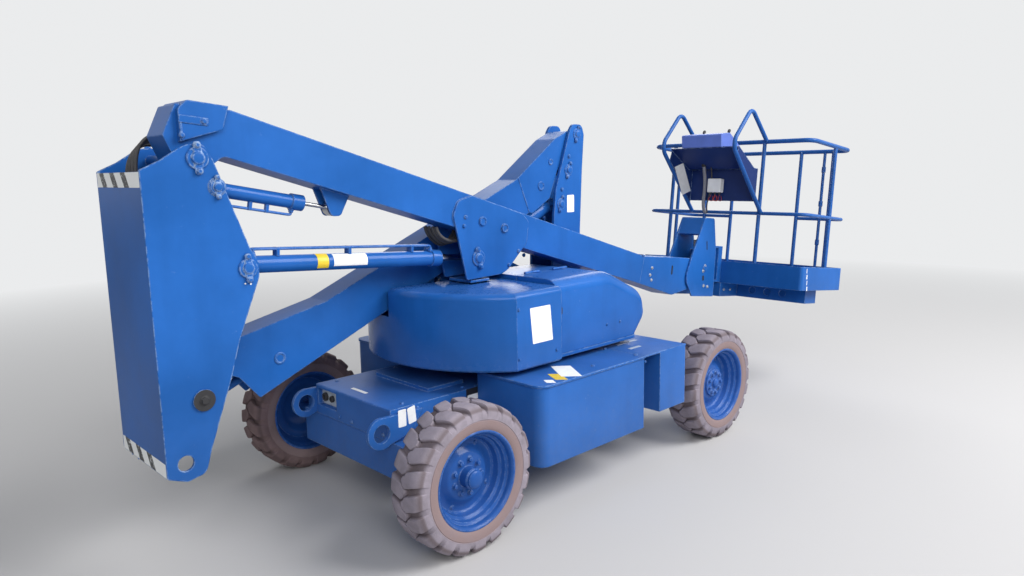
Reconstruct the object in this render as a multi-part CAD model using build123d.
from build123d import *
import os
from math import atan2, cos, degrees, hypot, pi, radians, sin, tan

os.makedirs("parts", exist_ok=True)

# Electric articulated boom lift, stowed. Lengths are millimetres.
# +X runs to the platform, -Y is the right-hand side, +Z is up, the ground is Z = 0.
# While it is built, X = 0 is midway between the axles. The last lines move the origin
# to the ground under the middle of the overall length.

# Running gear
WHEELBASE = 2144
OUTER_WIDTH = 1740
TYRE_D = 714
TYRE_W = 222
RIM_D = 456
LUG_H = 24
LUGS = 20
LUG_FOOT = 30
LUG_TIP = 24
LUG_LEAN = -34
KINGPIN_SET = 40
STEER_DISC_Y = -24
DRIVE_DISC_Y = -14
DRUM_LENGTH = 112
DISC_T = 11
SEAT_GAP = 0.3
STEER_OFFSET_GAP = 6

# Chassis
NOSE_X = -1197
NOSE_HALF = 357
NOSE_TOP = 610
CHASSIS_FLOOR = 250
FRAME_HALF = 330
FRAME_TOP = 610
TAIL_TOP = 500
RAIL_DEPTH = 75
DECK_TOP = 700
DECK_END_X = 660
PLATE = 10
BOX_X0, BOX_X1 = -626, 236
BOX_IN, BOX_OUT = 362, 840
BOX_FLOOR = 270
BOX_CORNER_R = 60
LID_T = 12
RING_X, RING_Z = -1262, 510
RING_R, RING_BORE_R = 80, 46

# Turntable
SLEW_R = 320
RACE_TOP = 692
RUNNING_GAP = 0.5
TURNTABLE_Z = 735
TURNTABLE_T = 20
COVER_R = 785
COVER_CENTRE_X = -135
COVER_ROUND = 34
COVER_SLOT_Z = 990
COVER_Z = 742
COVER_TOP = 1145
COVER_HALF = 640
COVER_T = 6
COVER_SPLIT_X = -250
TAIL_HOOD_X = 600
HOOD_HINGE_Y = 290
HOOD_OUT = 600
HOOD_TOP = 1172
HOOD_ROUND = 70
HINGE_R = 7
HINGE_PIN_R = 4

# Arms: lateral planes and widths
BOOM_Y = -110
ARM_Y = 140
ARM_W = 170
BOOM_W = 180
BOOM_DEPTH = 196
MAST_T = 20
SIDE_GAP = 5

# Tower linkage pins, as (x, z): A and B on the mast, arm on A and tie link on B
MAST_A = (652, 2002)
MAST_B = (564, 1765)
ARM_LENGTH = 2947
ARM_SLOPE = 23.14
LINK_R = 20
PIN_R = 22
PIN_FIT = 0.5

# Upright
UPRIGHT_HALF = 270
UPRIGHT_T = 12
UPRIGHT_BACK_X = -2231
BOOM_PIN = (-2006, 1838)
LEVEL_PIN = (-1934, 1721)
LIFT_PIN = (-1828, 1375)

# Main boom, in its own frame: s runs from the pivot to the head, t stands off it
BOOM_SLOPE = 16.8
BOOM_T0 = 49
BOOM_S_END = 3180
DOUBLER_T = 12
ROD_PIN = (-466, 1288)
LEVEL_EYE = (-1315, 1603)
HEAD_PIN = (1874, 992)

# Platform
PLATFORM_PITCH = 6.5
ROTATOR_X = 2090
PLATFORM_X = 2228
PLATFORM_TOE_Z = 1014
PLATFORM_W = 1452
PLATFORM_D = 717
RAIL_R = 17
RAIL_BEND = 70
RAIL_TOP = 950
RAIL_MID = 393
TOE_H = 180
HOOP_Y = (-340, 280)
HOOP_R = 16
POST_R = 15
GATE_HALF = 308
TOE_T = 6
SUPPORT_X = 262
SUPPORT_W = 190
SUPPORT_H = 112

nodes = {}


def rounded(rows):
    """Closed outline through (a, b, corner radius) rows, with tangent arcs at its corners."""
    corners = []
    for (a0, b0, _), (a1, b1, r), (a2, b2, _) in zip(rows[-1:] + rows[:-1], rows, rows[1:] + rows[:1]):
        here = Vector(a1, b1)
        back = (Vector(a0, b0) - here).normalized()
        on = (Vector(a2, b2) - here).normalized()
        if r == 0:
            corners.append((here, here, here))
            continue
        half = radians(back.get_angle(on)) / 2
        shorter = min(hypot(a0 - a1, b0 - b1), hypot(a2 - a1, b2 - b1))
        r = min(r, 0.48 * shorter * tan(half))
        run = r / tan(half)
        middle = here + (back + on).normalized() * (r / sin(half) - r)
        corners.append((here + back * run, middle, here + on * run))
    edges = []
    for arc, after in zip(corners, corners[1:] + corners[:1]):
        if (arc[0] - arc[2]).length > 1e-6:
            edges.append(ThreePointArc(*arc))
        if (arc[2] - after[0]).length > 1e-6:
            edges.append(Line(arc[2], after[0]))
    return make_face(edges)


def side_plate(face, y0, y1):
    """Face drawn in X and Z, as a plate from y0 to y1."""
    return Pos(0, y1, 0) * extrude(Plane.XZ * face, amount=y1 - y0)


def flat_plate(face, z0, z1):
    """Face drawn in X and Y, as a plate from z0 to z1."""
    return Pos(0, 0, z0) * extrude(face, amount=z1 - z0)


def block(x0, x1, y0, y1, z0, z1):
    """Plain block between two corners."""
    return Pos((x0 + x1) / 2, (y0 + y1) / 2, (z0 + z1) / 2) * Box(x1 - x0, y1 - y0, z1 - z0)


def cross_pin(place, r, y0, y1):
    """Round pin along Y at an (x, z) place."""
    return Pos(place[0], (y0 + y1) / 2, place[1]) * Rot(90, 0, 0) * Cylinder(r, y1 - y0)


def rod(start, end, r):
    """Round bar between two points."""
    start, end = Vector(*start), Vector(*end)
    plane = Plane(origin=start, z_dir=end - start)
    return plane * Cylinder(r, (end - start).length, align=(Align.CENTER, Align.CENTER, Align.MIN))


def both(shape):
    """The shape and its mirror image in the XZ plane."""
    return [shape, mirror(shape, Plane.XZ)]


# Wheels: a rim with a pressed disc, a lugged foam-filled tyre, a hub
def tyre():
    """Lugged tyre about the Y axis: a grooved body with two rows of slanting lugs."""
    w, r = TYRE_W / 2, TYRE_D / 2
    base = r - LUG_H
    bead = RIM_D / 2
    body = revolve(rounded([
        (bead, -w + 15, 0), (bead + 12, -w + 15, 0), (bead + 32, -w, 0),
        (base - 38, -w + 2, 0), (base, -w + 34, 0), (base, w - 34, 0), (base - 38, w - 2, 0),
        (bead + 32, w, 0), (bead + 12, w - 15, 0), (bead, w - 15, 0),
    ]), Axis.Y)
    pitch = 360 / LUGS
    lug_plan = rounded([
        (-LUG_FOOT, -w - 5, 0), (LUG_FOOT, -w - 5, 0),
        (LUG_LEAN + LUG_TIP, 12, 0), (LUG_LEAN - LUG_TIP, 12, 0)])
    lug_end = extrude(Plane.YZ * rounded([
        (-w + 4, base - 56, 0), (-w + 4, base - 22, 0), (-w + 26, r, 0), (20, r, 0), (20, base - 56, 0)]),
        amount=2 * TYRE_W, both=True)
    lug = extrude(Plane.XY.offset(base - 30) * lug_plan, amount=90) & lug_end
    lugs = []
    for i in range(LUGS):
        lugs.append(Rot(0, i * pitch, 0) * lug)
        lugs.append(Rot(0, (i + 0.5) * pitch, 0) * mirror(lug, Plane.XZ))
    return body + lugs


def rim(disc_y, hub_r, hub_y, cap_r):
    """Steel wheel about the Y axis with its hub, open side towards -Y."""
    w, r = TYRE_W / 2 - 14, RIM_D / 2 - 0.5
    barrel = revolve(rounded([
        (r + 10, -w - 8, 0), (r + 10, -w, 0), (r, -w, 0), (r, w, 0), (r + 10, w, 0), (r + 10, w + 8, 0),
        (r - 10, w + 8, 0), (r - 12, w - 24, 0), (r - 12, -w + 24, 0), (r - 10, -w - 8, 0),
    ]), Axis.Y)
    disc = revolve(rounded([
        (0, disc_y, 0), (110, disc_y, 0), (150, disc_y + 26, 14), (r - 11, disc_y + 40, 0),
        (r - 11, disc_y + 40 + DISC_T, 0), (146, disc_y + 26 + DISC_T, 14), (106, disc_y + DISC_T, 0),
        (0, disc_y + DISC_T, 0),
    ]), Axis.Y)
    hub = Pos(0, (hub_y + disc_y) / 2, 0) * Rot(90, 0, 0) * Cylinder(hub_r, disc_y - hub_y)
    cap = Pos(0, hub_y, 0) * Rot(90, 0, 0) * Cylinder(cap_r, 44)
    return barrel + [disc, hub, cap]


WHEEL_Y = (OUTER_WIDTH - TYRE_W) / 2
WHEEL_R = TYRE_D / 2
STEER_X, DRIVE_X = -WHEELBASE / 2, WHEELBASE / 2
one_tyre = tyre()
# Columns: name, axle x, disc offset, hub radius, hub end, cap radius
WHEEL_TABLE = [
    ("steer", STEER_X, STEER_DISC_Y, 62, -66, 44),
    ("drive", DRIVE_X, DRIVE_DISC_Y, 92, -44, 60),
]
for name, x, disc_y, hub_r, hub_y, cap_r in WHEEL_TABLE:
    one_rim = rim(disc_y, hub_r, hub_y, cap_r)
    for side, turn, y in (("right", 0, -WHEEL_Y), ("left", 180, WHEEL_Y)):
        place = Pos(x, y, WHEEL_R) * Rot(0, 0, turn)
        nodes[f"{name}_tyre_{side}"] = place * one_tyre
        nodes[f"{name}_wheel_{side}"] = place * one_rim

# Steering knuckles and the beams that carry the wheels. The kingpins stand inboard of the tyres,
# so a turned wheel's flat inner side passes clear of the forks that hold them.
KINGPIN_Y = WHEEL_Y - TYRE_W / 2 - KINGPIN_SET
SPINDLE_END = WHEEL_Y - STEER_DISC_Y - DISC_T - SEAT_GAP


def knuckle(sign):
    """Kingpin housing with its stub axle, on one side."""
    post = Pos(STEER_X, sign * KINGPIN_Y, WHEEL_R) * Cylinder(38, 200)
    stub = Pos(STEER_X, sign * (KINGPIN_Y + SPINDLE_END) / 2, WHEEL_R) * Rot(90, 0, 0) * Cylinder(
        30, SPINDLE_END - KINGPIN_Y)
    arm = block(STEER_X, STEER_X + 190, sign * KINGPIN_Y - 20, sign * KINGPIN_Y + 20,
                WHEEL_R - 80, WHEEL_R - 60)
    bore = Pos(STEER_X, sign * KINGPIN_Y, WHEEL_R) * Cylinder(PIN_R + PIN_FIT, 260)
    return post + stub + arm - bore


for sign, side in ((-1, "right"), (1, "left")):
    nodes[f"steer_knuckle_{side}"] = knuckle(sign)

FORK_Z = 100 + STEER_OFFSET_GAP
FORK_T = 16
FORK_END = 33
BEAM_HALF = KINGPIN_Y - 100
WEB_Y = BEAM_HALF - 52
beam = block(NOSE_X + 7, NOSE_X + 227, -BEAM_HALF, BEAM_HALF, CHASSIS_FLOOR, 440)
fork = []
for sign in (-1, 1):
    for low in (WHEEL_R - FORK_Z - FORK_T, WHEEL_R + FORK_Z):
        lug = Pos(0, 0, low) * extrude(rounded([
            (STEER_X - 45, sign * (WEB_Y - 40), 0), (STEER_X + 45, sign * (WEB_Y - 40), 0),
            (STEER_X + FORK_END, sign * (KINGPIN_Y + FORK_END), 30),
            (STEER_X - FORK_END, sign * (KINGPIN_Y + FORK_END), 30),
        ]), amount=FORK_T)
        fork.append(lug)
    fork.append(Pos(STEER_X, sign * KINGPIN_Y, WHEEL_R) * Cylinder(PIN_R, 2 * (FORK_Z + FORK_T)))
web = [block(STEER_X - 45, STEER_X + 45, sign * WEB_Y - 45, sign * WEB_Y + 45, WHEEL_R - FORK_Z - FORK_T,
             WHEEL_R + FORK_Z + FORK_T) for sign in (-1, 1)]
nodes["steer_axle_beam"] = beam + fork + web

DRUM_END = WHEEL_Y - DRIVE_DISC_Y - DISC_T - SEAT_GAP
housing = Pos(DRIVE_X, 0, WHEEL_R) * Rot(90, 0, 0) * Cylinder(62, 2 * (DRUM_END - DRUM_LENGTH / 2))
DRUM_R = 104
drums = [Pos(DRIVE_X, sign * (DRUM_END - DRUM_LENGTH / 2), WHEEL_R) * Rot(90, 0, 0)
         * Cylinder(DRUM_R, DRUM_LENGTH) for sign in (-1, 1)]
casing = Pos(DRIVE_X, 0, WHEEL_R) * Rot(90, 0, 0) * Cylinder(90, 260)
RAIL_Y, RAIL_HALF = 255, 40
saddles = [block(DRIVE_X - 60, DRIVE_X + 60, sign * RAIL_Y - RAIL_HALF, sign * RAIL_Y + RAIL_HALF,
                 WHEEL_R, TAIL_TOP - RAIL_DEPTH) for sign in (-1, 1)]
nodes["drive_axle"] = housing + drums + [casing] + saddles

# Chassis
nose = side_plate(rounded([
    (NOSE_X, 442, 0), (NOSE_X, NOSE_TOP, 8), (BOX_X0 - 2, NOSE_TOP, 0), (BOX_X0 - 2, 442, 0)]),
    -NOSE_HALF, NOSE_HALF)
panel_recess = block(NOSE_X - 1, NOSE_X + 25, 150, NOSE_HALF - 17, 495, 590)
main = block(BOX_X0 - 2, DECK_END_X, -FRAME_HALF, FRAME_HALF, CHASSIS_FLOOR + 40, FRAME_TOP)
under = block(NOSE_X + 227, BOX_X0 - 2, -FRAME_HALF, FRAME_HALF, CHASSIS_FLOOR + 40, 442)
tail_plate = block(DECK_END_X, DRIVE_X + 128, -FRAME_HALF + 30, FRAME_HALF - 30, TAIL_TOP - 12, TAIL_TOP)
tail_rails = [block(DECK_END_X, DRIVE_X + 128, sign * RAIL_Y - RAIL_HALF, sign * RAIL_Y + RAIL_HALF,
                    TAIL_TOP - RAIL_DEPTH, TAIL_TOP - 12) for sign in (-1, 1)]
raised = block(-874, BOX_X0 - 2, -244, 244, FRAME_TOP, 630)
nodes["chassis_frame"] = nose - panel_recess + [main, under, tail_plate, raised] + tail_rails

deck = block(BOX_X1 + 6, DECK_END_X, -BOX_OUT, BOX_OUT, DECK_TOP - PLATE, DECK_TOP)
step = block(SLEW_R + 40, DECK_END_X, -FRAME_HALF, FRAME_HALF, FRAME_TOP, DECK_TOP - PLATE)
slew_hole = Pos(0, 0, DECK_TOP) * Cylinder(SLEW_R + 30, 60)
lockers = [block(390, DECK_END_X - 6, min(sign * FRAME_HALF, sign * BOX_OUT),
                 max(sign * FRAME_HALF, sign * BOX_OUT), 330, DECK_TOP - PLATE) for sign in (-1, 1)]
nodes["rear_deck"] = deck + [step] + lockers - slew_hole

for sign, side in ((-1, "right"), (1, "left")):
    box_face = rounded([
        (BOX_X0, sign * BOX_IN, 0), (BOX_X1, sign * BOX_IN, 0),
        (BOX_X1, sign * BOX_OUT, 6), (BOX_X0, sign * BOX_OUT, BOX_CORNER_R)])
    lid_face = rounded([
        (BOX_X0 - 6, sign * BOX_IN, 0), (BOX_X1 + 3, sign * BOX_IN, 0),
        (BOX_X1 + 3, sign * (BOX_OUT + 6), 6), (BOX_X0 - 6, sign * (BOX_OUT + 6), BOX_CORNER_R + 6)])
    bridge = block(BOX_X0 + 60, BOX_X1 - 60, min(sign * FRAME_HALF, sign * BOX_IN),
                   max(sign * FRAME_HALF, sign * BOX_IN), BOX_FLOOR + 60, DECK_TOP - LID_T - 120)
    nodes[f"battery_box_{side}"] = flat_plate(box_face, BOX_FLOOR, DECK_TOP - LID_T) + bridge
    nodes[f"battery_lid_{side}"] = flat_plate(lid_face, DECK_TOP - LID_T, DECK_TOP)
    ring = Pos(RING_X, RING_Z) * Circle(RING_R)
    neck = make_face(Polyline((RING_X - 10, RING_Z + RING_R - 1), (-1014, 586), (-1076, 480),
                              (RING_X + 40, RING_Z - RING_R + 12), close=True))
    lug_face = Plane.XZ * (ring + neck - Pos(RING_X, RING_Z) * Circle(RING_BORE_R))
    y0 = NOSE_HALF if sign > 0 else -NOSE_HALF - 20
    nodes[f"tie_down_{side}"] = Pos(0, y0 + 20, 0) * extrude(lug_face, amount=20)

nodes["slew_ring"] = Pos(0, 0, (630 + RACE_TOP) / 2) * Cylinder(SLEW_R, RACE_TOP - 630) + Pos(
    0, 0, (FRAME_TOP + 630) / 2) * Cylinder(SLEW_R + 20, 630 - FRAME_TOP)

# Turntable: base plate, mast, covers, power unit, boom rest
race = Pos(0, 0, (RACE_TOP + RUNNING_GAP + TURNTABLE_Z) / 2) * Cylinder(
    SLEW_R - 40, TURNTABLE_Z - RACE_TOP - RUNNING_GAP)
COVER_PLAN = (Pos(COVER_CENTRE_X, 0) * Circle(COVER_R)) & (
    Pos(COVER_SPLIT_X - COVER_R, 0) * Rectangle(2 * COVER_R, 2 * COVER_HALF))
nose_plate = flat_plate(
    offset(COVER_PLAN, amount=-COVER_T - SEAT_GAP), TURNTABLE_Z, TURNTABLE_Z + TURNTABLE_T)
tail_plan = rounded([
    (COVER_SPLIT_X - 20, -HOOD_OUT, 0), (TAIL_HOOD_X - 120, -HOOD_OUT, 60), (660, -200, 60), (660, 200, 60),
    (TAIL_HOOD_X - 120, HOOD_OUT, 60), (COVER_SPLIT_X - 20, HOOD_OUT, 0)])
nodes["turntable_base"] = nose_plate + [flat_plate(tail_plan, TURNTABLE_Z, TURNTABLE_Z + TURNTABLE_T), race]

BASE_TOP = TURNTABLE_Z + TURNTABLE_T
CHANNEL_IN = ARM_W / 2 + SIDE_GAP
mast_face = rounded([
    (300, BASE_TOP, 0), (410, 1100, 40), (418, 1429, 40), (440, 1637, 60), (581, 2027, 40), (610, 2066, 40),
    (700, 2066, 45), (722, 2000, 0), (702, 1764, 60), (679, 1352, 60), (665, BASE_TOP, 0)])
mast_plates = [side_plate(mast_face, y, y + MAST_T)
               for y in (ARM_Y - CHANNEL_IN - MAST_T, ARM_Y + CHANNEL_IN)]
web_face = rounded([
    (640, BASE_TOP, 0), (652, 1352, 60), (668, 1600, 0),
    (680, 1600, 0), (664, 1352, 60), (654, BASE_TOP, 0)])
back_web = side_plate(web_face, ARM_Y - CHANNEL_IN, ARM_Y + CHANNEL_IN)
MAST_C = (488, 1544)
mast_pins = [cross_pin(p, PIN_R, ARM_Y - CHANNEL_IN - MAST_T - 8, ARM_Y + CHANNEL_IN + MAST_T + 8)
             for p in (MAST_A, MAST_B, MAST_C)]
nodes["tower_mast"] = mast_plates[0] + [mast_plates[1], back_web] + mast_pins

SLOT_Y0, SLOT_Y1 = ARM_Y - CHANNEL_IN - MAST_T - 6, ARM_Y + CHANNEL_IN + MAST_T + 6


def nose_block(inset, z0, z1, radius):
    """Solid of the cover's plan, set in all round, with its top edge rounded except at the split."""
    body = flat_plate(offset(COVER_PLAN, amount=-inset) if inset else COVER_PLAN, z0, z1)
    top = [edge for edge in body.edges().group_by(Axis.Z)[-1]
           if edge.center().X < COVER_SPLIT_X - inset - 1]
    return fillet(top, radius)


cover_core = nose_block(COVER_T, COVER_Z - 1, COVER_TOP - COVER_T, COVER_ROUND - COVER_T) + block(
    COVER_SPLIT_X - 80, COVER_SPLIT_X + 10, -COVER_HALF + COVER_ROUND, COVER_HALF - COVER_ROUND,
    COVER_Z - 1, COVER_TOP - COVER_T)
arm_slot = block(COVER_CENTRE_X - COVER_R - 5, COVER_SPLIT_X + 5, SLOT_Y0, SLOT_Y1,
                 COVER_SLOT_Z, COVER_TOP + 5)
REST = (-520, -380, -205, -15)
rest_hole = block(REST[0] - 6, REST[1] + 6, REST[2] - 6, REST[3] + 6, COVER_TOP - 40, COVER_TOP + 5)
nodes["front_cover"] = nose_block(0, COVER_Z, COVER_TOP, COVER_ROUND) - cover_core - arm_slot - rest_hole
post = block(REST[0] + 30, REST[1] - 30, REST[2] + 60, REST[3] - 60, BASE_TOP, 1152)
nodes["boom_rest"] = post + block(*REST, 1152, 1166)

HOOD_FLOOR = BASE_TOP + SEAT_GAP
HOOD_FACE = [
    (COVER_SPLIT_X + 5, HOOD_FLOOR, 0), (COVER_SPLIT_X + 5, HOOD_TOP, 0), (230, HOOD_TOP, 260),
    (TAIL_HOOD_X - 30, 1010, 150), (TAIL_HOOD_X, 860, 90), (TAIL_HOOD_X - 90, HOOD_FLOOR, 0)]


def hood_block(inset, low, high, round_at=None, radius=0):
    """Solid of the tail's outline from low to high, set in by a wall, one long edge rounded."""
    face = rounded(HOOD_FACE)
    body = side_plate(offset(face, amount=-inset) if inset else face, low, high)
    if round_at is None:
        return body
    chain = [edge for edge in body.edges()
             if abs(edge.center().Y - round_at) < 0.5 and edge.center().Z > HOOD_FLOOR + inset + 5
             and edge.center().X > COVER_SPLIT_X + 5 + inset + 1]
    return fillet(chain, radius)


def open_below(low, high):
    """Space that opens a moulding's floor."""
    return block(COVER_SPLIT_X + 5 + COVER_T, TAIL_HOOD_X - 110, low, high, HOOD_FLOOR - 1, HOOD_FLOOR + 60)


def tail_hood(sign):
    """Hinged hood of one side, open below and inwards."""
    y_in, y_out = sign * (HOOD_HINGE_Y + 3), sign * HOOD_OUT
    core_in, core_out = sign * (HOOD_HINGE_Y + 2), sign * (HOOD_OUT - COVER_T)
    outer = hood_block(0, min(y_in, y_out), max(y_in, y_out), y_out, HOOD_ROUND)
    core = hood_block(
        COVER_T, min(core_in, core_out), max(core_in, core_out), core_out, HOOD_ROUND - COVER_T)
    floor_out = sign * (HOOD_OUT - HOOD_ROUND)
    floor = open_below(min(core_in, floor_out), max(core_in, floor_out))
    return outer - core - floor


def hood_bridge(y0, y1, wall_y):
    """Fixed moulding between the mast and a hood, closed only along the mast."""
    low, high = min(y0, y1), max(y0, y1)
    core_low = low + COVER_T if wall_y == low else low - 1
    core_high = high - COVER_T if wall_y == high else high + 1
    core = hood_block(COVER_T, core_low, core_high)
    return hood_block(0, low, high) - core - open_below(core_low, core_high)


# Columns: start and end along X of each hinge knuckle, and whether the hood carries it
HINGE_KNUCKLES = [(-180, -120, True), (-119, -60, False), (60, 119, False), (120, 180, True)]


def hinge_part(sign, on_hood):
    """Knuckles of one hood's hinge, with the pin on the fixed side."""
    y, z = sign * HOOD_HINGE_Y, HOOD_TOP + HINGE_R + SEAT_GAP
    reach = y + (sign if on_hood else -sign) * 30
    out = []
    for x0, x1, hood in HINGE_KNUCKLES:
        if hood == on_hood:
            leaf = block(x0, x1, min(y, reach), max(y, reach), HOOD_TOP - 1, HOOD_TOP + 2)
            out.append(rod((x0, y, z), (x1, y, z), HINGE_R) + leaf)
    if on_hood:
        return [tube - rod((-200, y, z), (200, y, z), HINGE_PIN_R + 0.1) for tube in out]
    return [tube + rod((x0, y, z), (x0 + 120, y, z), HINGE_PIN_R) for tube, x0 in zip(out, (-180, 60))]


for sign, side in ((-1, "right"), (1, "left")):
    nodes[f"tail_hood_{side}"] = tail_hood(sign) + hinge_part(sign, True)
BRIDGE_IN_RIGHT, BRIDGE_IN_LEFT = SLOT_Y0 - 8, SLOT_Y1 + 8
for sign, side, inner in ((-1, "right", BRIDGE_IN_RIGHT), (1, "left", BRIDGE_IN_LEFT)):
    nodes[f"hood_bridge_{side}"] = hood_bridge(
        inner, sign * (HOOD_HINGE_Y - 3), inner) + hinge_part(sign, False)

nodes["hydraulic_tank"] = block(-200, 260, 310, 520, BASE_TOP, 1000)
nodes["power_unit"] = block(-200, 200, -520, -310, BASE_TOP, 980)

# Tower arm: hollow box with welded knuckle ends, in a frame along the pin line A to A'
along = (-cos(radians(ARM_SLOPE)), -sin(radians(ARM_SLOPE)))
below = (sin(radians(ARM_SLOPE)), -cos(radians(ARM_SLOPE)))


def on_arm(s, t):
    """Point s along the line from mast pin A, and t below it."""
    return (MAST_A[0] + s * along[0] + t * below[0], MAST_A[1] + s * along[1] + t * below[1])


ARM_PIN = on_arm(ARM_LENGTH, 0)
LINK_PIN = (MAST_B[0] + ARM_LENGTH * along[0], MAST_B[1] + ARM_LENGTH * along[1])
ARM_TOP_T, ARM_BOTTOM_T = 52, 290
ARM_WALL = 8
# Columns: s from pin A, t below the pin line, corner radius
ARM_OUTLINE = [
    (-48, -10, 40), (60, -46, 20), (190, -44, 60), (622, ARM_TOP_T, 60), (2118, ARM_TOP_T, 60),
    (2580, -28, 60), (ARM_LENGTH - 10, -82, 60), (ARM_LENGTH + 82, 0, 60), (ARM_LENGTH - 10, 82, 60),
    (2712, 112, 30), (2685, 142, 20), (2642, ARM_BOTTOM_T, 8), (600, ARM_BOTTOM_T, 30),
    (575, 306, 20), (392, 288, 30), (250, 152, 60), (60, 50, 40), (-20, 52, 40)]


def arm_point(row):
    """One row of the arm's outline as an (x, z, radius) row."""
    x, z = on_arm(row[0], row[1])
    return (x, z, row[2])


arm_face = rounded([arm_point(row) for row in ARM_OUTLINE])
arm_solid = side_plate(arm_face, ARM_Y - ARM_W / 2, ARM_Y + ARM_W / 2)
hollow_face = make_face(Polyline(*[on_arm(s, t) for s, t in (
    (110, 0), (200, -30), (626, ARM_TOP_T + ARM_WALL), (2122, ARM_TOP_T + ARM_WALL), (2560, -10),
    (2800, -40), (2800, 360), (2550, 360), (2550, ARM_BOTTOM_T - ARM_WALL), (600, ARM_BOTTOM_T - ARM_WALL),
    (560, 400), (110, 400))], close=True))
hollow = side_plate(hollow_face, ARM_Y - ARM_W / 2 + ARM_WALL, ARM_Y + ARM_W / 2 - ARM_WALL)
arm_bores = [cross_pin(p, PIN_R + PIN_FIT, ARM_Y - ARM_W, ARM_Y + ARM_W) for p in (MAST_A, ARM_PIN)]
CYL_EYE = on_arm(1556 - 20, 357)
lug_face = rounded([
    (*on_arm(1400, 280), 0), (*on_arm(1680, 280), 0), (*on_arm(1575, 395), 30), (*on_arm(1505, 395), 30)])
arm_lugs = [side_plate(lug_face, y, y + 12) for y in (ARM_Y - 46, ARM_Y + 34)]
nodes["tower_arm"] = arm_solid - hollow - arm_bores + arm_lugs

# Tie link that keeps the upright standing, inside the arm
link_bar = rod((MAST_B[0], ARM_Y, MAST_B[1]), (LINK_PIN[0], ARM_Y, LINK_PIN[1]), LINK_R)
link_eyes = [cross_pin(p, PIN_R + 14, ARM_Y - 30, ARM_Y + 30) for p in (MAST_B, LINK_PIN)]
link_bores = [cross_pin(p, PIN_R + PIN_FIT, ARM_Y - 40, ARM_Y + 40) for p in (MAST_B, LINK_PIN)]
nodes["tower_link"] = link_bar + link_eyes - link_bores


def cylinder_pair(start, end, y, barrel_r, rod_r, gland_at, eye_w, tail_gap):
    """Barrel and rod of a hydraulic cylinder between two (x, z) pins, at rest."""
    run = (end[0] - start[0], end[1] - start[1])
    length = hypot(*run)
    ux, uz = run[0] / length, run[1] / length

    def at(s):
        return (start[0] + s * ux, y, start[1] + s * uz)

    eye_r = PIN_R + 16
    barrel = rod(at(eye_r + 6), at(gland_at), barrel_r) + rod(at(gland_at - 60), at(gland_at), barrel_r + 6)
    barrel = barrel + cross_pin(start, eye_r, y - eye_w / 2, y + eye_w / 2)
    barrel = barrel + rod(at(0), at(eye_r + 12), eye_r * 0.8)
    barrel = barrel - rod(at(tail_gap - 4), at(gland_at + 1), rod_r + 0.4)
    barrel = barrel - cross_pin(start, PIN_R + PIN_FIT, y - eye_w, y + eye_w)
    piston = rod(at(tail_gap), at(length - eye_r + 4), rod_r)
    piston = piston + cross_pin(end, eye_r, y - eye_w / 2, y + eye_w / 2)
    piston = piston - cross_pin(end, PIN_R + PIN_FIT, y - eye_w, y + eye_w)
    return barrel, piston


nodes["tower_cylinder_barrel"], nodes["tower_cylinder_rod"] = cylinder_pair(
    MAST_C, CYL_EYE, ARM_Y, 50, 30, 1060, 56, 90)

# Upright: two side plates and a back plate
upright_face = rounded([
    (UPRIGHT_BACK_X, 1793, 10), (-2150, 1831, 20), (-2078, 1877, 30), (-2040, 1893, 20), (-1976, 1893, 30),
    (-1942, 1830, 20), (-1912, 1745, 0), (-1874, 1633, 0), (-1812, 1460, 0), (-1778, 1400, 30),
    (-1778, 1335, 40), (-1886, 1071, 0), (-1933, 917, 0), (-2043, 622, 30), (-2070, 530, 40),
    (-2150, 512, 30), (UPRIGHT_BACK_X, 545, 12)])
side_plates = [side_plate(upright_face, y, y + UPRIGHT_T)
               for y in (-UPRIGHT_HALF, UPRIGHT_HALF - UPRIGHT_T)]
back_plate = block(UPRIGHT_BACK_X, UPRIGHT_BACK_X + UPRIGHT_T, -UPRIGHT_HALF + UPRIGHT_T,
                   UPRIGHT_HALF - UPRIGHT_T, 546, 1787)
pin_heads = [cross_pin(p, PIN_R, -UPRIGHT_HALF - 8, UPRIGHT_HALF + 8)
             for p in (BOOM_PIN, LEVEL_PIN, LIFT_PIN, ARM_PIN)]
LINK_EYE_HALF = 30
link_lug_face = rounded([
    (UPRIGHT_BACK_X + 6, LINK_PIN[1] - 75, 0), (LINK_PIN[0] + 10, LINK_PIN[1] - 40, 30),
    (LINK_PIN[0] + 36, LINK_PIN[1], 30), (LINK_PIN[0] + 10, LINK_PIN[1] + 40, 30),
    (UPRIGHT_BACK_X + 6, LINK_PIN[1] + 75, 0)])
link_lugs = [side_plate(link_lug_face, y, y + 10)
             for y in (ARM_Y - LINK_EYE_HALF - 14, ARM_Y + LINK_EYE_HALF + 4)]
link_pin = cross_pin(LINK_PIN, PIN_R, ARM_Y - LINK_EYE_HALF - 18, ARM_Y + LINK_EYE_HALF + 18)
rings = [cross_pin(p, PIN_R + 14, y, y + 5) for p in (BOOM_PIN, LEVEL_PIN, LIFT_PIN)
         for y in (-UPRIGHT_HALF - 5, UPRIGHT_HALF)]
sight_hole = cross_pin(
    (LINK_PIN[0] - 6, LINK_PIN[1] - 14), 33, -UPRIGHT_HALF - 1, -UPRIGHT_HALF + UPRIGHT_T + 1)
stiffener = block(UPRIGHT_BACK_X + UPRIGHT_T, UPRIGHT_BACK_X + 70, -UPRIGHT_HALF + UPRIGHT_T,
                  UPRIGHT_HALF - UPRIGHT_T, 1180, 1192)
upright = side_plates[0] + [side_plates[1], back_plate, stiffener, link_pin]
nodes["upright"] = upright + link_lugs + pin_heads + rings - sight_hole

# Main boom
bx, bz = cos(radians(BOOM_SLOPE)), -sin(radians(BOOM_SLOPE))


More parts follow.
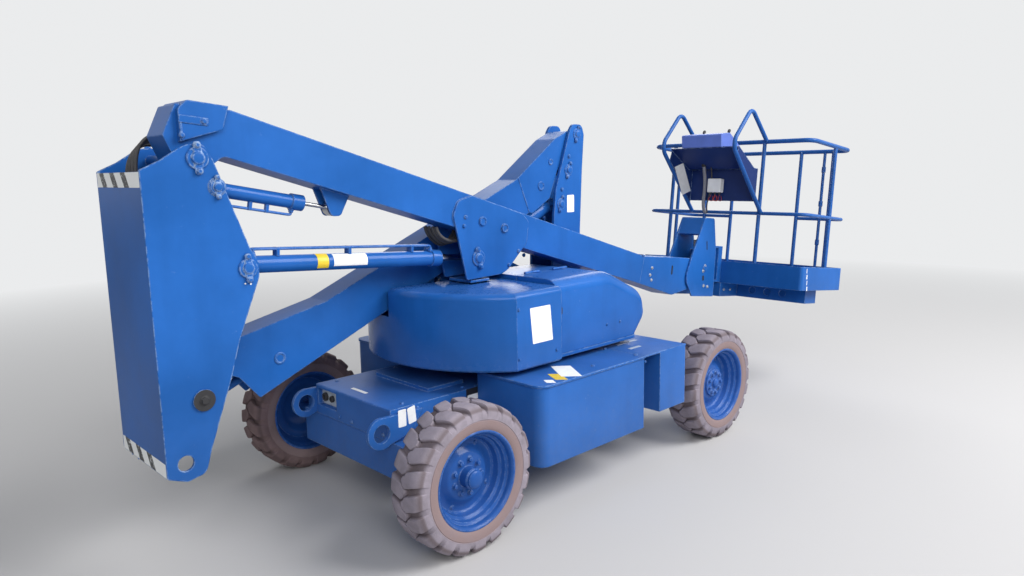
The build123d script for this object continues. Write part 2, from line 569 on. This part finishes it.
def on_boom(s, t):
    """Point s along the boom from its pivot and t above that line."""
    return (BOOM_PIN[0] + s * bx - t * bz, BOOM_PIN[1] + s * bz + t * bx)


BOOM_TOP_T = BOOM_T0 + BOOM_DEPTH
BOOM_HALF = BOOM_W / 2
boom_face = rounded([
    (*on_boom(-60, -20), 30), (*on_boom(-125, 60), 10), (*on_boom(-106, 196), 10),
    (*on_boom(118, BOOM_TOP_T), 10), (*on_boom(BOOM_S_END, BOOM_TOP_T), 0),
    (*on_boom(BOOM_S_END, BOOM_T0), 0), (*on_boom(130, BOOM_T0), 40),
    (*on_boom(55, -50), 40), (*on_boom(-40, -60), 40)])
boom_box = side_plate(boom_face, BOOM_Y - BOOM_HALF, BOOM_Y + BOOM_HALF)
doubler_face = rounded([
    (-619, 1465, 0), (-637, 1536, 40), (-600, 1612, 50), (-500, 1636, 30), (-110, 1516, 30), (-62, 1470, 30),
    (-80, 1345, 40), (-240, 1200, 40), (-290, 1180, 30), (-551, 1172, 12)])
doublers = [side_plate(doubler_face, y, y + DOUBLER_T)
            for y in (BOOM_Y - BOOM_HALF - DOUBLER_T, BOOM_Y + BOOM_HALF)]
level_lug_face = rounded([(-1400, 1725, 0), (-1230, 1675, 0), (-1290, 1565, 25), (-1340, 1565, 25)])
level_lugs = [side_plate(level_lug_face, y, y + 10) for y in (BOOM_Y - 40, BOOM_Y + 30)]
HEAD_HALF = BOOM_HALF - 2
head_face = rounded([
    (*on_boom(BOOM_S_END, BOOM_T0), 0), (1453, 834, 30), (1653, 852, 60), (1850, 925, 40), (1936, 960, 40),
    (1936, 1030, 40), (1850, 1062, 40), (1645, 1093, 60), (*on_boom(BOOM_S_END, BOOM_TOP_T), 0)])
head = side_plate(head_face, BOOM_Y - HEAD_HALF, BOOM_Y + HEAD_HALF)
head = head - cross_pin(HEAD_PIN, PIN_R + PIN_FIT, BOOM_Y - 200, BOOM_Y + 200)
boom_bore = cross_pin(BOOM_PIN, PIN_R + PIN_FIT, BOOM_Y - 200, BOOM_Y + 200)
plugs = [cross_pin(p, r, y, y + 5) for p, r in (((-429, 1492), 24), ((-261, 1442), 24), (ROD_PIN, 34))
         for y in (BOOM_Y - BOOM_HALF - DOUBLER_T - 5, BOOM_Y + BOOM_HALF + DOUBLER_T)]
lip = side_plate(rounded([
    (*on_boom(BOOM_S_END - 30, BOOM_TOP_T - 1), 0), (*on_boom(BOOM_S_END - 6, BOOM_TOP_T - 1), 0),
    (*on_boom(BOOM_S_END - 6, BOOM_TOP_T + 8), 0), (*on_boom(BOOM_S_END - 30, BOOM_TOP_T + 8), 0)]),
    BOOM_Y - BOOM_HALF - 6, BOOM_Y + BOOM_HALF + 6)
nodes["boom"] = boom_box - boom_bore + doublers + level_lugs + plugs + [lip]
nodes["boom_head"] = head

# Sheet cap over the boom's tail, with a strap plate along its top
CAP_T = 5
CAP_HALF = BOOM_HALF + 26
cap_rows = [(-2050, 1905, 0), (-2050, 2036, 26), (-2012, 2070, 14), (-1842, 2052, 0), (-1872, 1955, 0)]
cap_outer = side_plate(rounded(cap_rows), BOOM_Y - CAP_HALF, BOOM_Y + CAP_HALF)
cap_low, cap_high = BOOM_Y - CAP_HALF + CAP_T, BOOM_Y + CAP_HALF - CAP_T
cap_inner = side_plate(offset(rounded(cap_rows), amount=-CAP_T), cap_low, cap_high)
cap_open = side_plate(rounded([
    (-2044, 1880, 0), (-2044, 1990, 0), (-1905, 2020, 0), (-1830, 2010, 0), (-1830, 1880, 0)]),
    cap_low, cap_high)
nodes["boom_tail_cap"] = cap_outer - cap_inner - cap_open - boom_box

nodes["lift_cylinder_barrel"], nodes["lift_cylinder_rod"] = cylinder_pair(
    LIFT_PIN, ROD_PIN, BOOM_Y, 40, 20, 1158, 60, 90)
nodes["level_cylinder_barrel"], nodes["level_cylinder_rod"] = cylinder_pair(
    LEVEL_PIN, LEVEL_EYE, BOOM_Y, 32, 10, 470, 50, 80)

# Levelling bracket at the boom's head, with the rotator tube
BRACKET_IN, BRACKET_OUT = BOOM_HALF + 2, BOOM_HALF + 14
BRACKET_FRONT = 2035
bracket_face = rounded([
    (1872, 1385, 25), (2005, 1372, 25), (BRACKET_FRONT, 1116, 0), (2003, 753, 12), (1698, 794, 12),
    (1626, 911, 40), (1624, 964, 40), (1688, 1088, 40), (1793, 1256, 40)])
bracket_plates = [side_plate(bracket_face, y, y + BRACKET_OUT - BRACKET_IN)
                  for y in (BOOM_Y - BRACKET_OUT, BOOM_Y + BRACKET_IN)]
head_pin = cross_pin(HEAD_PIN, PIN_R, BOOM_Y - BRACKET_OUT - 8, BOOM_Y + BRACKET_OUT + 8)
spacer = block(1975, 2002, BOOM_Y - BRACKET_IN, BOOM_Y + BRACKET_IN, 880, 1120)
TUBE_R = 40
tilt = Pos(ROTATOR_X, BOOM_Y, 1000) * Rot(0, PLATFORM_PITCH, 0)
rotator_tube = tilt * Cylinder(TUBE_R, 250) - tilt * Cylinder(PIN_R + PIN_FIT, 260)
neck = block(1995, ROTATOR_X - 25, BOOM_Y - 25, BOOM_Y + 25, 900, 1100) - tilt * Cylinder(
    PIN_R + PIN_FIT + 2, 300)
top_cover = side_plate(rounded([
    (1800, 1262, 0), (1872, 1385, 25), (2002, 1372, 25),
    (1999, 1352, 0), (1880, 1362, 25), (1815, 1250, 0)]),
    BOOM_Y - BRACKET_IN, BOOM_Y + BRACKET_IN)
nodes["rotator_bracket"] = bracket_plates[0] + [
    bracket_plates[1], spacer, neck, rotator_tube, top_cover, head_pin]

# Platform, drawn level in its own frame: its console-side face is x = 0, the toe board's top z = 0
stand = Pos(PLATFORM_X, BOOM_Y, PLATFORM_TOE_Z) * Rot(0, PLATFORM_PITCH, 0)
HALF_W = PLATFORM_W / 2
outer_toe = Pos(0, 0, -TOE_H) * extrude(rounded([
    (0, -HALF_W, 25), (PLATFORM_D, -HALF_W, 25), (PLATFORM_D, HALF_W, 25), (0, HALF_W, 25)]), amount=TOE_H)
inner_toe = Pos(0, 0, -TOE_H + TOE_T) * extrude(rounded([
    (TOE_T, -HALF_W + TOE_T, 20), (PLATFORM_D - TOE_T, -HALF_W + TOE_T, 20),
    (PLATFORM_D - TOE_T, HALF_W - TOE_T, 20), (TOE_T, HALF_W - TOE_T, 20)]), amount=TOE_H)
nodes["platform_base"] = stand * (outer_toe - inner_toe)

MOUNT_W = 2 * (ROTATOR_X - BRACKET_FRONT) - 24
ears = [tilt * Pos(50, 0, z) * Box(168, MOUNT_W, 16) for z in (-125 - 5 - 8, 125 + 5 + 8)]
swing_pin = tilt * Cylinder(PIN_R, 300)
mount = tilt * Pos(105, 0, 0) * Box(60, MOUNT_W, 292)
nodes["platform_mount"] = ears[0] + [ears[1], swing_pin, mount]


def rail_loop(z, r, gap):
    """Tube round the platform at one height, open over the gap in its far side."""
    x0, x1, y0, y1 = RAIL_R, PLATFORM_D - RAIL_R, -HALF_W + RAIL_R, HALF_W - RAIL_R
    path = FilletPolyline(
        (x1, -gap, z), (x1, y0, z), (x0, y0, z), (x0, y1, z), (x1, y1, z), (x1, gap, z), radius=RAIL_BEND)
    return sweep(Plane(origin=path @ 0, z_dir=path % 0) * Circle(r), path)


top_loop = rail_loop(RAIL_TOP, RAIL_R, GATE_HALF)
mid_loop = rail_loop(RAIL_MID, RAIL_R - 3, GATE_HALF)
lintel = rod((PLATFORM_D - RAIL_R, -GATE_HALF - 5, RAIL_TOP),
             (PLATFORM_D - RAIL_R, GATE_HALF + 5, RAIL_TOP), RAIL_R)
# Columns: x, y of each post
POST_IN = TOE_T + SEAT_GAP + POST_R
POSTS = [
    (POST_IN, -320), (POST_IN, 495), (430, -HALF_W + POST_IN), (430, HALF_W - POST_IN),
    (PLATFORM_D - POST_IN, -580), (PLATFORM_D - POST_IN, 580),
    (PLATFORM_D - POST_IN, -GATE_HALF), (PLATFORM_D - POST_IN, GATE_HALF)]
posts = [rod((x, y, -TOE_H + TOE_T + SEAT_GAP), (x, y, RAIL_TOP), POST_R) for x, y in POSTS]

# Hoops beside the console: from the mid rail out over the console and back to the top rail
hoops = []
for y in HOOP_Y:
    path = FilletPolyline(
        (RAIL_R, y, RAIL_MID), (-505, y, 872), (-262, y, 1168), (RAIL_R, y, RAIL_TOP), radius=[95, 62])
    hoops.append(sweep(Plane(origin=path @ 0, z_dir=path % 0) * Circle(HOOP_R), path))
top_rail = top_loop + lintel
nodes["platform_top_rail"] = stand * top_rail
nodes["platform_mid_rail"] = stand * mid_loop
nodes["platform_hoops"] = stand * (Compound(children=hoops) - top_rail - mid_loop)
nodes["platform_posts"] = stand * (Compound(children=posts) - top_rail - mid_loop - hoops)

# Console: folded sheet between the hoops, with gussets, a back sheet and the control box
leg_slope = (872 - RAIL_MID) / (-505 - RAIL_R)
GUARD_T = 4


def on_leg(x, off):
    """Point beside the hoops' lower leg at x, standing off it by a distance."""
    return (x, RAIL_MID + (x - RAIL_R) * leg_slope + off * hypot(1, leg_slope))


guard_low, guard_high = HOOP_Y[0] + HOOP_R + SEAT_GAP, HOOP_Y[1] - HOOP_R - SEAT_GAP
guard_face = rounded([
    (*on_leg(-60, 0), 0), (*on_leg(-400, 0), 0), (-372, 872, 10), (-120, 735, 20), (-60, 735, 0)])
guards = [side_plate(guard_face, y0, y0 + GUARD_T) for y0 in (guard_low, guard_high - GUARD_T)]
back_sheet = block(-64, -60, guard_low, guard_high, 480, 735)
tray_face = rounded([
    (-400, 862, 0), (-372, 872, 0), (-120, 735, 0), (-60, 735, 0), (-60, 731, 0), (-122, 731, 0)])
tray = side_plate(tray_face, guard_low, guard_high)
nodes["console_guard"] = stand * (back_sheet + guards + [tray])
box_face = rounded([(-408, 868, 0), (-425, 960, 12), (-300, 985, 16), (-130, 900, 16), (-130, 745, 0)])
control_box = side_plate(box_face, -195, 150)
under_tray = side_plate(rounded([
    (-420, 700, 0), (-420, 858, 0), (-372, 873, 0), (-120, 736, 0), (-60, 736, 0), (-60, 600, 0)]),
    -250, 250)
nodes["control_console"] = stand * (control_box - under_tray)
nodes["junction_box"] = stand * fillet(block(-120, -64 - 0.3, -45, 75, 545, 655).edges(), 8)

# Support under the floor: a holed cross channel and the beam that joins it to the mount
FLOOR_UNDER = -TOE_H - 0.3
channel = block(
    SUPPORT_X, SUPPORT_X + SUPPORT_W, -HALF_W + 80, HALF_W - 80, FLOOR_UNDER - SUPPORT_H, FLOOR_UNDER)
channel = channel - block(SUPPORT_X + 6, SUPPORT_X + SUPPORT_W - 6, -HALF_W + 86, HALF_W - 86,
                          FLOOR_UNDER - SUPPORT_H - 1, FLOOR_UNDER - 6)
channel_holes = [Pos(SUPPORT_X, y, FLOOR_UNDER - 50) * Rot(0, 90, 0) * Cylinder(28, 40)
                 for y in (-455, -325, -195, 195, 325, 455)]
beam_box = block(-10, SUPPORT_X, -55, 55, FLOOR_UNDER - SUPPORT_H, FLOOR_UNDER)
nodes["platform_support"] = stand * (channel - channel_holes + beam_box)

# Origin on the ground under the middle of the overall length
low = min(shape.bounding_box().min.X for shape in nodes.values())
high = max(shape.bounding_box().max.X for shape in nodes.values())
X_SHIFT = -(low + high) / 2
for name, shape in nodes.items():
    export_step(Pos(X_SHIFT, 0, 0) * shape, f"parts/{name}.step")
print("x shift", round(X_SHIFT, 3))
for name, place in (("A", MAST_A), ("B", MAST_B), ("C", MAST_C), ("arm pin", ARM_PIN),
                    ("link pin", LINK_PIN), ("cylinder eye", CYL_EYE)):
    print(name, round(place[0] + X_SHIFT, 2), round(place[1], 2))
